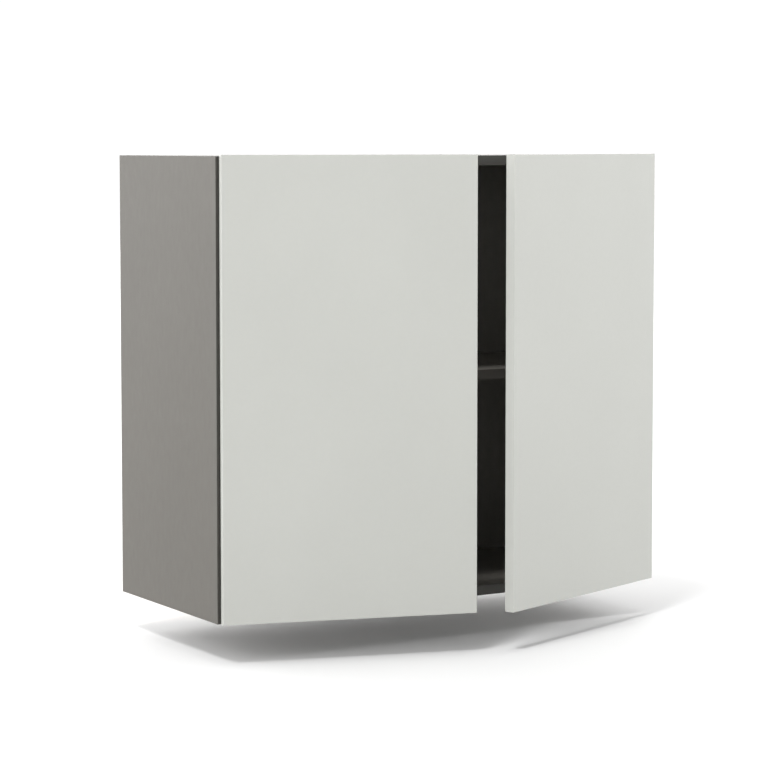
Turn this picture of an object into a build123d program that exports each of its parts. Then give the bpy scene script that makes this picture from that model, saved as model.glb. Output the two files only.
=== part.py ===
from build123d import *
import math
import os

# Two-door kitchen wall cabinet, shown with both doors ajar.
# Frame: the wall is the plane y = 0, the front faces -Y, +X is to the right, +Z is up.
# The origin is the middle of the four wall screw holes. All lengths are in millimetres.

# Driving dimensions: carcass
cabinet_width = 800.0
cabinet_height = 700.0
carcass_depth = 330.0
panel_thickness = 16.0
edge_band_thickness = 1.0
top_above_screws = 45.0

# Driving dimensions: back panel in its groove
back_thickness = 3.0
back_to_wall = 20.0
groove_depth = 6.0
back_in_groove = 5.5
groove_clearance = 0.2

# Driving dimensions: shelf and its pins
shelf_thickness = 16.0
shelf_set_back = 27.0
shelf_end_gap = 0.5
shelf_back_gap = 2.0
hole_pitch = 32.0
hole_line_from_front = 37.0
hole_line_spacing = 224.0
pin_hole_rows = 5
pin_radius = 2.5
pin_hole_depth = 11.0
pin_in_panel = 10.0
pin_collar_radius = 4.5
pin_collar_thickness = 1.5
pin_reach = 11.0
pin_stub_radius = 3.5
pin_flat_height = 2.0

# Driving dimensions: carcass joints
dowel_radius = 4.0
dowel_in_side = 10.0
dowel_in_panel = 20.0
dowel_end_gap = 1.0
dowel_chamfer = 0.8
cam_radius = 7.5
cam_depth = 12.5
cam_from_end = 24.0
cam_slot_share = 1.3
cam_slot_width = 2.0
cam_slot_depth = 1.5
cam_bolt_radius = 3.5
cam_thread_radius = 2.5
cam_thread_length = 10.0
cam_bolt_past_centre = 2.0
joint_inset = 60.0
dowel_from_cam = 32.0
drill_clearance = 0.05

# Driving dimensions: doors
door_thickness = 16.0
door_gap_to_carcass = 4.0
door_side_reveal = 2.5
door_meeting_gap = 3.0
door_bottom_reveal = 1.0
door_top_rise = 2.0
door_band_thickness = 1.0
door_arris_radius = 0.8
left_rest_angle = 16.0
right_rest_angle = 20.5
bumper_radius = 4.5
bumper_clearance = 0.1
bumper_from_edge = 18.0
bumper_dome = 1.0

# Driving dimensions: cup hinges
hinge_from_end = 100.0
cup_radius = 17.5
cup_depth = 12.0
cup_wall = 1.0
cup_from_door_edge = 3.0
cup_drill_clearance = 0.1
flange_thickness = 1.2
flange_rim = 1.3
flange_length = 62.0
flange_width = 22.0
cup_screw_spacing = 48.0
cup_screw_offset = 6.0
cup_screw_radius = 1.75
cup_screw_length = 12.0
pivot_from_door_edge = 7.7
pivot_below_door_back = 7.0
hinge_pin_radius = 1.25
hinge_pin_length = 17.0
hinge_pin_fit = 0.05
knuckle_radius = 2.6
knuckle_width = 8.0
lug_side_gap = 0.5
lug_reach = 3.2
neck_centre_inward = 5.0
neck_centre_back = 8.5
neck_thickness = 3.6
arm_width = 16.0
arm_cheek_thickness = 1.6
arm_cheek_reach = 4.5
arm_front_set_back = 4.0
arm_length = 60.0
arm_edge_radius = 1.2
plate_wing_thickness = 2.5
plate_wing_width = 12.0
plate_wing_length = 50.0
plate_wing_corner_radius = 5.4
plate_spine_front = 24.0
plate_spine_back = 62.0
plate_spine_width = 12.0
plate_screw_radius = 2.4
plate_screw_depth = 12.0
plate_screw_end_gap = 1.0
plate_screw_spacing = 32.0
arm_screw_radius = 2.4
arm_screw_depth = 5.0
arm_screw_end_gap = 0.5
arm_fixing_from_front = 54.0
arm_adjuster_from_front = 33.0
adjuster_radius = 2.9
adjuster_stand = 0.4
screw_head_radius = 3.8
screw_head_height = 1.7
screw_crown_share = 0.4
screw_slot_share = 1.2
screw_slot_width = 1.1
screw_slot_depth = 0.9
screw_clearance = 0.1

# Driving dimensions: hangers and wall plates
hanger_width = 19.0
hanger_height = 60.0
hanger_front = 62.0
hanger_wall_gap = 6.6
hanger_below_top = 3.0
hanger_corner_radius = 2.0
hanger_peg_radius = 5.0
hanger_peg_length = 9.0
hanger_peg_from_wall = 42.0
hanger_peg_spacing = 38.0
hanger_cavity_width = 14.0
hanger_front_wall = 12.0
hanger_floor = 12.0
hanger_notch_clearance = 2.0
hook_thickness = 2.5
hook_width = 13.0
hook_back = 0.6
hook_front = 40.0
hook_lip_drop = 12.0
hook_inner_drop = 30.0
hanger_screw_radius = 2.5
hanger_screw_head_radius = 3.6
hanger_screw_head_height = 3.0
depth_screw_height = 8.0
height_screw_height = -26.0
height_screw_from_wall = 48.0
wall_plate_thickness = 2.5
wall_plate_width = 60.0
wall_plate_bottom = 24.0
wall_plate_top = 24.0
wall_plate_side_gap = 1.0
lip_top = 20.0
lip_bottom = 2.0
lip_width = 24.0
lip_gap = 3.4
wall_hole_radius = 3.25
wall_hole_from_side = 43.0
wall_hole_spacing = 26.0

# Places worked out from the driving dimensions
half_width = cabinet_width / 2
inner_half = half_width - panel_thickness
z_top = top_above_screws
z_bottom = z_top - cabinet_height
z_middle = (z_top + z_bottom) / 2
y_front = -carcass_depth
y_core = y_front + edge_band_thickness
y_back_rear = -back_to_wall
y_back_front = y_back_rear - back_thickness
hole_line_y = (y_front + hole_line_from_front, y_front + hole_line_from_front + hole_line_spacing)
shelf_top = z_middle + shelf_thickness / 2
shelf_under = shelf_top - shelf_thickness
shelf_front = y_front + shelf_set_back
pin_z = shelf_under - pin_flat_height
joint_y = (y_front + joint_inset, y_back_front - joint_inset)
dowel_y = (joint_y[0] + dowel_from_cam, joint_y[1] - dowel_from_cam)
hinge_z = (z_bottom + hinge_from_end, z_top - hinge_from_end)
door_bottom = z_bottom + door_bottom_reveal
door_top = z_top + door_top_rise
door_width = half_width - door_side_reveal - door_meeting_gap / 2
door_edge_x = -half_width + door_side_reveal
door_back_y = y_front - door_gap_to_carcass
door_front_y = door_back_y - door_thickness
pivot_x = door_edge_x + pivot_from_door_edge
pivot_y = door_back_y - pivot_below_door_back
cup_x = door_edge_x + cup_from_door_edge + cup_radius
neck_x = pivot_x + neck_centre_inward
neck_y = pivot_y + neck_centre_back
neck_radius = math.hypot(neck_centre_inward, neck_centre_back)
web_outer_x = neck_x + neck_radius + neck_thickness / 2
web_inner_x = web_outer_x - neck_thickness
hanger_top = z_top - panel_thickness - hanger_below_top
hanger_bottom = hanger_top - hanger_height
hanger_middle = (hanger_top + hanger_bottom) / 2
wall_hole_x = -inner_half + wall_hole_from_side


# Small helpers
def block(x, y, z):
    """Box between the given low and high values along each axis."""
    size = (x[1] - x[0], y[1] - y[0], z[1] - z[0])
    middle = ((x[0] + x[1]) / 2, (y[0] + y[1]) / 2, (z[0] + z[1]) / 2)
    return Pos(*middle) * Box(*size)


def rod(start, end, radius):
    """Round bar from one point to another."""
    way = Vector(*end) - Vector(*start)
    plane = Plane(origin=start, z_dir=way)
    return plane * Cylinder(radius, way.length, align=(Align.CENTER, Align.CENTER, Align.MIN))


def screw(seat, way, length, radius, head_radius, head_height, slot_depth=screw_slot_depth):
    """Screw with a crossed pan head that stands on seat, its shank running along way."""
    along = Vector(*way).normalized()
    point = Vector(*seat)
    shank = rod(point, point + along * length, radius)
    head = rod(point, point - along * head_height, head_radius)
    crown = head.edges().group_by(lambda e: (e.center() - point).dot(along))[0]
    head = fillet(crown, head_height * screw_crown_share)
    face = Plane(origin=point - along * head_height, z_dir=along)
    depth = slot_depth * 2
    arm = Box(head_radius * screw_slot_share, screw_slot_width, depth)
    cross = face * (arm + Rot(0, 0, 90) * arm)
    return head + shank - cross


def mirrored(shape):
    """The same piece on the other side of the cabinet."""
    return mirror(shape, about=Plane.YZ)


def swung(shape, angle):
    """A piece of the left door, turned from closed to the given opening angle about the hinge pins."""
    axis = Axis((pivot_x, pivot_y, 0), (0, 0, -1))
    return shape.rotate(axis, angle)


def save(name, pieces):
    """Write one node, which holds one piece or a group of separate pieces."""
    if not isinstance(pieces, list):
        pieces = [pieces]
    solids = [solid for piece in pieces for solid in piece.solids()]
    export_step(solids[0] if len(solids) == 1 else Compound(children=solids), f"parts/{name}.step")


# Carcass panels
def pin_rows():
    """Heights of the shelf pin holes, the pins' own row in the middle."""
    first = -(pin_hole_rows - 1) / 2
    return [pin_z + (first + row) * hole_pitch for row in range(pin_hole_rows)]


def side_panel():
    """Left side with its back groove and all its drillings."""
    panel = block((-half_width, -inner_half), (y_core, 0), (z_bottom, z_top))
    groove_y = (y_back_front - groove_clearance, y_back_rear + groove_clearance)
    panel -= block((-inner_half - groove_depth, -inner_half), groove_y, (z_bottom, z_top))
    holes = []
    for z in pin_rows():
        for y in hole_line_y:
            holes.append((y, z, pin_radius + drill_clearance, pin_hole_depth))
    for middle in hinge_z:
        for step in (-plate_screw_spacing / 2, plate_screw_spacing / 2):
            z = middle + step
            holes.append((hole_line_y[0], z, plate_screw_radius + drill_clearance, plate_screw_depth))
    for z in (z_bottom + panel_thickness / 2, z_top - panel_thickness / 2):
        for y in joint_y:
            holes.append((y, z, cam_thread_radius + drill_clearance, cam_thread_length))
        for y in dowel_y:
            holes.append((y, z, dowel_radius + drill_clearance, dowel_in_side + dowel_end_gap))
    for step in (-hanger_peg_spacing / 2, hanger_peg_spacing / 2):
        peg_z = hanger_middle + step
        holes.append((-hanger_peg_from_wall, peg_z, hanger_peg_radius + drill_clearance, hanger_peg_length))
    for y, z, radius, depth in holes:
        panel -= rod((-inner_half, y, z), (-inner_half - depth, y, z), radius)
    return panel


def flat_panel(low, cams_up):
    """Top or bottom panel from height low, with its cam pockets in the upper or in the lower face."""
    high = low + panel_thickness
    middle = low + panel_thickness / 2
    panel = block((-inner_half, inner_half), (y_core, 0), (low, high))
    groove_y = (y_back_front - groove_clearance, y_back_rear + groove_clearance)
    groove_z = (low, low + groove_depth) if cams_up else (high - groove_depth, high)
    panel -= block((-inner_half, inner_half), groove_y, groove_z)
    face = high if cams_up else low
    inward = -1 if cams_up else 1
    for side in (-1, 1):
        end = side * inner_half
        for y in dowel_y:
            depth = dowel_in_panel + dowel_end_gap
            panel -= rod((end, y, middle), (end - side * depth, y, middle), dowel_radius + drill_clearance)
        for y in joint_y:
            cam_x = end - side * cam_from_end
            floor = face + inward * cam_depth
            panel -= rod((cam_x, y, face), (cam_x, y, floor), cam_radius + drill_clearance)
            panel -= rod((end, y, middle), (cam_x, y, middle), cam_bolt_radius + drill_clearance)
    return panel


def back_panel():
    """Thin back in its groove, with a notch at each upper corner for the hanger."""
    half = inner_half + back_in_groove
    height = (z_bottom + panel_thickness - back_in_groove, z_top - panel_thickness + back_in_groove)
    panel = block((-half, half), (y_back_front, y_back_rear), height)
    notch_x = (-half, -inner_half + hanger_width + hanger_notch_clearance)
    notch_z = (hanger_bottom - hanger_notch_clearance, height[1])
    notch = block(notch_x, (y_back_front, y_back_rear), notch_z)
    return panel - notch - mirrored(notch)


def shelf():
    """Loose shelf on its four pins, behind its front band."""
    half = inner_half - shelf_end_gap
    depth = (shelf_front + edge_band_thickness, y_back_front - shelf_back_gap)
    return block((-half, half), depth, (shelf_under, shelf_top))


def shelf_band():
    """Front edge band of the shelf."""
    half = inner_half - shelf_end_gap
    return block((-half, half), (shelf_front, shelf_front + edge_band_thickness), (shelf_under, shelf_top))


def side_band():
    """Front edge band of the left side."""
    return block((-half_width, -inner_half), (y_front, y_core), (z_bottom, z_top))


def flat_band(low):
    """Front edge band of the top or bottom panel."""
    return block((-inner_half, inner_half), (y_front, y_core), (low, low + panel_thickness))


def shelf_pin(y):
    """Left shelf pin: shank in the side, collar on it, and a stub with a flat for the shelf."""
    face = -inner_half
    shank = rod((face - pin_in_panel, y, pin_z), (face, y, pin_z), pin_radius)
    collar = rod((face, y, pin_z), (face + pin_collar_thickness, y, pin_z), pin_collar_radius)
    stub = rod((face, y, pin_z), (face + pin_reach, y, pin_z), pin_stub_radius)
    above = (shelf_under, shelf_under + pin_collar_radius + pin_stub_radius)
    wide = pin_collar_radius + pin_stub_radius
    cut = block((face, face + pin_reach), (y - wide, y + wide), above)
    return shank + (collar + stub - cut)


# Carcass joints
def dowel(y, z):
    """Left wooden dowel between the side and a flat panel."""
    bar = rod((-inner_half - dowel_in_side, y, z), (-inner_half + dowel_in_panel, y, z), dowel_radius)
    return chamfer(bar.edges().filter_by(GeomType.CIRCLE), dowel_chamfer)


def cam_bolt(y, z):
    """Left cam bolt: its thread in the side, its shank reaching into the cam."""
    thread = rod((-inner_half - cam_thread_length, y, z), (-inner_half, y, z), cam_thread_radius)
    tip = -inner_half + cam_from_end + cam_bolt_past_centre
    return thread + rod((-inner_half, y, z), (tip, y, z), cam_bolt_radius)


def cam_lock(y, z, cams_up):
    """Left cam: a disc with a bore for the bolt and a crossed driver slot in its open face."""
    inward = -1 if cams_up else 1
    face = z - inward * panel_thickness / 2
    x = -inner_half + cam_from_end
    disc = rod((x, y, face), (x, y, face + inward * cam_depth), cam_radius)
    tip = x + cam_bolt_past_centre + drill_clearance
    disc -= rod((x - 2 * cam_radius, y, z), (tip, y, z), cam_bolt_radius + drill_clearance)
    bar = Box(cam_radius * cam_slot_share, cam_slot_width, 2 * cam_slot_depth)
    return disc - Pos(x, y, face) * (bar + Rot(0, 0, 90) * bar)


# Hangers and wall plates
def hanger_housing():
    """Left hanger housing with its two pegs, open at the back for the hook."""
    x = (-inner_half, -inner_half + hanger_width)
    body = block(x, (-hanger_front, -hanger_wall_gap), (hanger_bottom, hanger_top))
    upright = body.edges().filter_by(Axis.Z).group_by(Axis.X)[-1]
    body = fillet(upright, hanger_corner_radius)
    middle = (x[0] + x[1]) / 2
    cavity_x = (middle - hanger_cavity_width / 2, middle + hanger_cavity_width / 2)
    cavity_y = (-hanger_front + hanger_front_wall, -hanger_wall_gap)
    cavity_z = (hanger_bottom + hanger_floor, lip_top + hook_thickness + screw_clearance)
    body -= block(cavity_x, cavity_y, cavity_z)
    for z in (depth_screw_height, height_screw_height):
        bore = hanger_screw_radius + screw_clearance
        body -= rod((middle, -hanger_front, z), (middle, -hook_front, z), bore)
        sink = -hanger_front + hanger_screw_head_height
        head = hanger_screw_head_radius + screw_clearance
        body -= rod((middle, -hanger_front, z), (middle, sink, z), head)
    for step in (-hanger_peg_spacing / 2, hanger_peg_spacing / 2):
        z = hanger_middle + step
        tip = x[0] - hanger_peg_length
        body += rod((x[0], -hanger_peg_from_wall, z), (tip, -hanger_peg_from_wall, z), hanger_peg_radius)
    return body


def hanger_hook():
    """Left hook: bent strip that goes over the wall plate's lip and down inside the housing."""
    middle = -inner_half + hanger_width / 2
    x = (middle - hook_width / 2, middle + hook_width / 2)
    top = (lip_top, lip_top + hook_thickness)
    strip = block(x, (-hook_front, -hook_back), top)
    strip += block(x, (-hook_back - hook_thickness, -hook_back), (lip_top - hook_lip_drop, top[1]))
    strip += block(x, (-hook_front, -hook_front + hook_thickness), (lip_top - hook_inner_drop, top[1]))
    return strip


def hanger_screw(z, tip_from_wall):
    """Left hanger screw, sunk in the housing's front and turned from inside the cabinet."""
    x = -inner_half + hanger_width / 2
    seat = -hanger_front + hanger_screw_head_height
    length = hanger_front - hanger_screw_head_height - tip_from_wall
    return screw((x, seat, z), (0, 1, 0), length, hanger_screw_radius,
                 hanger_screw_head_radius, hanger_screw_head_height, 2 * screw_slot_depth)


def wall_plate():
    """Left wall plate: flat on the wall, with a lip that stands off it for the hook."""
    x = (-inner_half + wall_plate_side_gap, -inner_half + wall_plate_side_gap + wall_plate_width)
    flat_y = (-wall_plate_thickness, 0)
    lip_y = (-lip_gap - wall_plate_thickness, -lip_gap)
    lip_x = (x[0], x[0] + lip_width)
    plate = block(x, flat_y, (-wall_plate_bottom, lip_bottom - wall_plate_thickness))
    plate += block((lip_x[1], x[1]), flat_y, (-wall_plate_bottom, wall_plate_top))
    bend_z = (lip_bottom - 2 * wall_plate_thickness, lip_bottom - wall_plate_thickness)
    plate += block(lip_x, (lip_y[0], 0), bend_z)
    plate += block(lip_x, lip_y, (bend_z[0], lip_top))
    for z in (-wall_hole_spacing / 2, wall_hole_spacing / 2):
        plate -= rod((wall_hole_x, 0, z), (wall_hole_x, -wall_plate_thickness, z), wall_hole_radius)
    return plate


# Cup hinges
def hinge_plate(z):
    """Left mounting plate: two screw wings and a spine that carries the arm."""
    face = -inner_half
    line = hole_line_y[0]
    wing_y = (line - plate_wing_width / 2, line + plate_wing_width / 2)
    wing_z = (z - plate_wing_length / 2, z + plate_wing_length / 2)
    wing = block((face, face + plate_wing_thickness), wing_y, wing_z)
    wing = fillet(wing.edges().filter_by(Axis.X), plate_wing_corner_radius)
    spine_y = (y_front + plate_spine_front, y_front + plate_spine_back)
    spine_z = (z - plate_spine_width / 2, z + plate_spine_width / 2)
    plate = wing + block((face, web_inner_x), spine_y, spine_z)
    for step in (-plate_screw_spacing / 2, plate_screw_spacing / 2):
        hole = plate_screw_radius + screw_clearance
        plate -= rod((face, line, z + step), (face + plate_wing_thickness, line, z + step), hole)
    y = y_front + arm_fixing_from_front
    thread = arm_screw_radius + drill_clearance
    plate -= rod((web_inner_x, y, z), (web_inner_x - arm_screw_depth, y, z), thread)
    return plate


def hinge_plate_screw(z):
    """Left plate screw in the side's hole line."""
    seat = -inner_half + plate_wing_thickness
    length = plate_wing_thickness + plate_screw_depth - plate_screw_end_gap
    return screw((seat, hole_line_y[0], z), (-1, 0, 0), length, plate_screw_radius,
                 screw_head_radius, screw_head_height)


def hinge_arm(z):
    """Left hinge arm: a channel over the plate, and a swan neck that ends in the knuckle."""
    turn = math.degrees(math.atan2(neck_centre_back, neck_centre_inward))
    sweep = 180 - turn
    inside = neck_radius - neck_thickness / 2
    outside = neck_radius + neck_thickness / 2
    outer = CenterArc((neck_x, neck_y), outside, -sweep, sweep)
    inner = CenterArc((neck_x, neck_y), inside, -sweep, sweep)
    bend = make_face([outer, Line(outer @ 1, inner @ 1), inner, Line(inner @ 0, outer @ 0)])
    channel_front = y_front + arm_front_set_back
    channel_back = channel_front + arm_length
    strip_y = (neck_y, channel_back)
    middle_x = (web_inner_x + web_outer_x) / 2
    middle_y = (strip_y[0] + strip_y[1]) / 2
    strip = Pos(middle_x, middle_y) * Rectangle(neck_thickness, strip_y[1] - strip_y[0])
    knuckle = Pos(pivot_x, pivot_y) * Circle(knuckle_radius)
    outline = bend + strip + knuckle
    neck = Pos(0, 0, z) * extrude(outline, knuckle_width / 2, both=True)
    channel_z = (z - arm_width / 2, z + arm_width / 2)
    channel_x = (web_inner_x - arm_cheek_reach, web_outer_x)
    channel = block(channel_x, (channel_front, channel_back), channel_z)
    long_edges = channel.edges().filter_by(Axis.Y).group_by(Axis.X)[-1]
    channel = fillet(long_edges, arm_edge_radius)
    hollow_z = (channel_z[0] + arm_cheek_thickness, channel_z[1] - arm_cheek_thickness)
    channel -= block((channel_x[0], web_inner_x), (channel_front, channel_back), hollow_z)
    arm = neck + channel
    bore = hinge_pin_radius + hinge_pin_fit
    arm -= rod((pivot_x, pivot_y, z - arm_width), (pivot_x, pivot_y, z + arm_width), bore)
    holes = ((arm_fixing_from_front, arm_screw_radius), (arm_adjuster_from_front, adjuster_radius))
    for from_front, radius in holes:
        y = y_front + from_front
        arm -= rod((web_inner_x, y, z), (web_outer_x, y, z), radius + screw_clearance)
    return arm


def arm_fixing_screw(z):
    """Left arm screw that clamps the arm on its plate."""
    y = y_front + arm_fixing_from_front
    length = neck_thickness + arm_screw_depth - arm_screw_end_gap
    return screw((web_outer_x, y, z), (-1, 0, 0), length, arm_screw_radius,
                 screw_head_radius, screw_head_height)


def arm_adjuster(z):
    """Left side-adjustment screw: headless, threaded in the arm and standing on the plate."""
    y = y_front + arm_adjuster_from_front
    top = web_outer_x + adjuster_stand
    grub = rod((web_inner_x, y, z), (top, y, z), adjuster_radius)
    slot = Pos(top, y, z) * Box(2 * screw_slot_depth, 2 * adjuster_radius, screw_slot_width)
    return grub - slot


def hinge_cup(z):
    """Left hinge cup of the closed door: bowl, screw flange, and two lugs that hold the pin."""
    mouth = door_back_y + flange_thickness
    floor = door_back_y - cup_depth
    screw_x = cup_x + cup_screw_offset
    bowl = rod((cup_x, door_back_y, z), (cup_x, floor, z), cup_radius)
    bowl += rod((cup_x, door_back_y, z), (cup_x, mouth, z), cup_radius + flange_rim)
    wing_plane = Plane(origin=(screw_x, mouth, z), x_dir=(0, 0, 1), z_dir=(0, -1, 0))
    bowl += extrude(wing_plane * SlotOverall(flange_length, flange_width), flange_thickness)
    hollow = rod((cup_x, mouth, z), (cup_x, floor + cup_wall, z), cup_radius - cup_wall)
    bowl -= hollow
    lug_x = (cup_x - cup_radius, pivot_x + lug_reach)
    lug_y = (floor + cup_wall, pivot_y + lug_reach)
    start = knuckle_width / 2 + lug_side_gap
    for side in (-1, 1):
        span = sorted((z + side * start, z + side * cup_radius))
        bowl += hollow & block(lug_x, lug_y, span)
        hole = cup_screw_radius + screw_clearance
        screw_z = z + side * cup_screw_spacing / 2
        bowl -= rod((screw_x, mouth, screw_z), (screw_x, door_back_y, screw_z), hole)
    half = hinge_pin_length / 2
    return bowl - rod((pivot_x, pivot_y, z - half), (pivot_x, pivot_y, z + half), hinge_pin_radius)


def hinge_pin(z):
    """Left hinge pin, pressed in the cup's lugs and running in the knuckle."""
    half = hinge_pin_length / 2
    return rod((pivot_x, pivot_y, z - half), (pivot_x, pivot_y, z + half), hinge_pin_radius)


def cup_screws():
    """Cup screws of the closed left door, two for each hinge."""
    x = cup_x + cup_screw_offset
    seat = door_back_y + flange_thickness
    heights = [z + side * cup_screw_spacing / 2 for z in hinge_z for side in (-1, 1)]
    length = flange_thickness + cup_screw_length
    return [screw((x, seat, z), (0, -1, 0), length, cup_screw_radius, screw_head_radius, screw_head_height)
            for z in heights]


# Doors
def door_panel():
    """Board of the closed left door, inside its edge bands, drilled for the cups and their screws."""
    band = door_band_thickness
    x = (door_edge_x + band, door_edge_x + door_width - band)
    board = block(x, (door_front_y, door_back_y), (door_bottom + band, door_top - band))
    for z in hinge_z:
        floor = door_back_y - cup_depth - cup_drill_clearance
        board -= rod((cup_x, door_back_y, z), (cup_x, floor, z), cup_radius + cup_drill_clearance)
        for side in (-1, 1):
            hole = (cup_x + cup_screw_offset, door_back_y, z + side * cup_screw_spacing / 2)
            end = (hole[0], door_back_y - cup_screw_length - drill_clearance, hole[2])
            board -= rod(hole, end, cup_screw_radius + drill_clearance)
    return board


def door_band():
    """Edge band round all four edges of the closed left door, its front arris eased."""
    x = (door_edge_x, door_edge_x + door_width)
    y = (door_front_y, door_back_y)
    z = (door_bottom, door_top)
    ring = block(x, y, z)
    ring = fillet(ring.faces().sort_by(Axis.Y)[0].edges(), door_arris_radius)
    band = door_band_thickness
    return ring - block((x[0] + band, x[1] - band), y, (z[0] + band, z[1] - band))


def door_bumpers():
    """Two soft pads near the free edge of the closed left door, one against each flat panel's front."""
    x = door_edge_x + door_width - bumper_from_edge
    reach = door_gap_to_carcass - bumper_clearance
    pads = []
    for z in (z_bottom + panel_thickness / 2, z_top - panel_thickness / 2):
        pad = rod((x, door_back_y, z), (x, door_back_y + reach, z), bumper_radius)
        pads.append(fillet(pad.edges().group_by(Axis.Y)[-1], bumper_dome))
    return pads


def both_sides(left):
    """The left pieces and their mirrored twins."""
    return left + [mirrored(piece) for piece in left]


def build():
    """Make every node and write it."""
    os.makedirs("parts", exist_ok=True)
    flats = ((z_bottom, False), (z_top - panel_thickness, True))
    left_side = side_panel()
    save("side_panel_left", left_side)
    save("side_panel_right", mirrored(left_side))
    save("side_edge_band_left", side_band())
    save("side_edge_band_right", mirrored(side_band()))
    for name, (low, cams_up) in zip(("bottom", "top"), flats):
        save(f"{name}_panel", flat_panel(low, cams_up))
        save(f"{name}_edge_band", flat_band(low))
    save("back_panel", back_panel())
    save("shelf", shelf())
    save("shelf_edge_band", shelf_band())
    save("shelf_pins", both_sides([shelf_pin(y) for y in hole_line_y]))

    middles = [(low + panel_thickness / 2, cams_up) for low, cams_up in flats]
    save("dowels", both_sides([dowel(y, z) for z, _ in middles for y in dowel_y]))
    save("cam_bolts", both_sides([cam_bolt(y, z) for z, _ in middles for y in joint_y]))
    save("cam_locks", both_sides([cam_lock(y, z, up) for z, up in middles for y in joint_y]))

    for name, twin in (("left", lambda piece: piece), ("right", mirrored)):
        save(f"hanger_housing_{name}", twin(hanger_housing()))
        save(f"hanger_hook_{name}", twin(hanger_hook()))
        save(f"wall_plate_{name}", twin(wall_plate()))
        save(f"hinge_plates_{name}", [twin(hinge_plate(z)) for z in hinge_z])
        save(f"hinge_arms_{name}", [twin(hinge_arm(z)) for z in hinge_z])
    save("hanger_depth_screws", both_sides([hanger_screw(depth_screw_height, hook_front)]))
    save("hanger_height_screws", both_sides([hanger_screw(height_screw_height, height_screw_from_wall)]))

    screw_steps = (-plate_screw_spacing / 2, plate_screw_spacing / 2)
    screw_heights = [z + step for z in hinge_z for step in screw_steps]
    save("hinge_plate_screws", both_sides([hinge_plate_screw(z) for z in screw_heights]))
    save("arm_fixing_screws", both_sides([arm_fixing_screw(z) for z in hinge_z]))
    save("arm_adjusting_screws", both_sides([arm_adjuster(z) for z in hinge_z]))

    door_sets = {
        "door": [door_panel()],
        "door_edge_band": [door_band()],
        "hinge_cups": [hinge_cup(z) for z in hinge_z],
        "hinge_pins": [hinge_pin(z) for z in hinge_z],
        "cup_screws": cup_screws(),
        "door_bumpers": door_bumpers(),
    }
    for node, pieces in door_sets.items():
        save(f"{node}_left", [swung(piece, left_rest_angle) for piece in pieces])
        save(f"{node}_right", [mirrored(swung(piece, right_rest_angle)) for piece in pieces])


build()
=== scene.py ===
import logging
import math
from dataclasses import asdict, dataclass, field, fields, replace
from enum import Enum
from typing import Iterable, Mapping, Optional, Sequence, Union

import bmesh
import bpy
from mathutils import Matrix, Vector


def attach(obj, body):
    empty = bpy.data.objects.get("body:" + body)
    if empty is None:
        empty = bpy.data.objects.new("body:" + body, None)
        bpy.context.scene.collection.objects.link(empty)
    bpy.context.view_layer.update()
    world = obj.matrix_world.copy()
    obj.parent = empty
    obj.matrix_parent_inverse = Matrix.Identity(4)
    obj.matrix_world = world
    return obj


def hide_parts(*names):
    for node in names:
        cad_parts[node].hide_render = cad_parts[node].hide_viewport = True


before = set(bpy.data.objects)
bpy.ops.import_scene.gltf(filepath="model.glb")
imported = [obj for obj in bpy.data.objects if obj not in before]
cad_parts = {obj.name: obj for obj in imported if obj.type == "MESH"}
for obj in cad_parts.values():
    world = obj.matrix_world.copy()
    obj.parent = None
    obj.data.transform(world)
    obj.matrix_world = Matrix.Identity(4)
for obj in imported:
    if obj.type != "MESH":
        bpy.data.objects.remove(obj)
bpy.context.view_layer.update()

log = logging.getLogger("wall_cabinet")

Colour = tuple[float, float, float]
Point = tuple[float, float, float]
Node = bpy.types.Node
Socket = bpy.types.NodeSocket
Value = Union[float, Socket]
Inputs = Mapping[Union[str, int], object]

CARCASS = "carcass"


def shade(red: int, green: int, blue: int) -> Colour:
    """Turn a colour as a screen shows it into the linear values of a shader.

    Args:
        red: Red part, 0 to 255.
        green: Green part, 0 to 255.
        blue: Blue part, 0 to 255.

    Returns:
        The linear red, green and blue.
    """
    parts = []
    for part in (red, green, blue):
        level = part / 255.0
        parts.append(level / 12.92 if level <= 0.04045 else ((level + 0.055) / 1.055) ** 2.4)
    return tuple(parts)


class Side(Enum):
    """The half of the cabinet that a piece belongs to."""

    LEFT = "left"
    RIGHT = "right"

    @property
    def door_body(self) -> str:
        """Name of the moving body of this half's door."""
        return f"{self.value}_door"


class Way(Enum):
    """Directions that faces and fasteners point in."""

    LEFT = (-1.0, 0.0, 0.0)
    RIGHT = (1.0, 0.0, 0.0)
    FRONT = (0.0, -1.0, 0.0)
    BACK = (0.0, 1.0, 0.0)
    DOWN = (0.0, 0.0, -1.0)
    UP = (0.0, 0.0, 1.0)


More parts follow.
